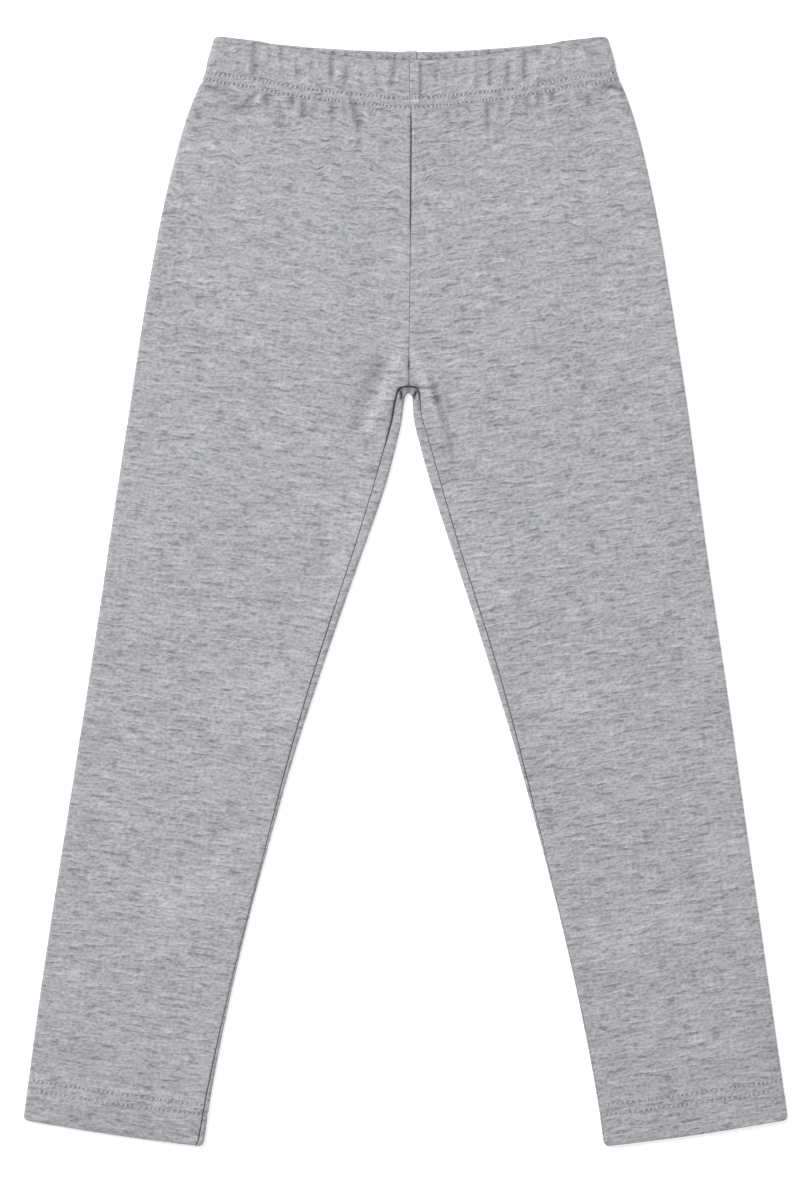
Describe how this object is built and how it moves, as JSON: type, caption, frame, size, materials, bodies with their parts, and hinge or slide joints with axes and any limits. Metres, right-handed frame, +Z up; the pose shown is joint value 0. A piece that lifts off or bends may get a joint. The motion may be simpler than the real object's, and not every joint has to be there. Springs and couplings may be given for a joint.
{
  "type": "leggings",
  "caption": "Child's plain jersey leggings laid flat, with an elastic waist casing, a centre front seam and turned hems.",
  "frame": {"origin": "middle of the laid garment's box in X and Y, on the surface that it lies on", "axes": "+X to the wearer's left, +Y from the hems to the waist, +Z up from the surface, with the front of the garment up"},
  "size_m": [0.4424, 0.6434, 0.0074],
  "materials": {
    "jersey": "matt grey marl cotton jersey",
    "casing": "matt grey marl cotton jersey, gathered over elastic",
    "thread": "light grey sewing thread"
  },
  "bodies": {
    "root": {"leg_right": "jersey", "leg_left": "jersey", "waistband_right": "casing", "waistband_left": "casing"}
  },
  "joints": []
}
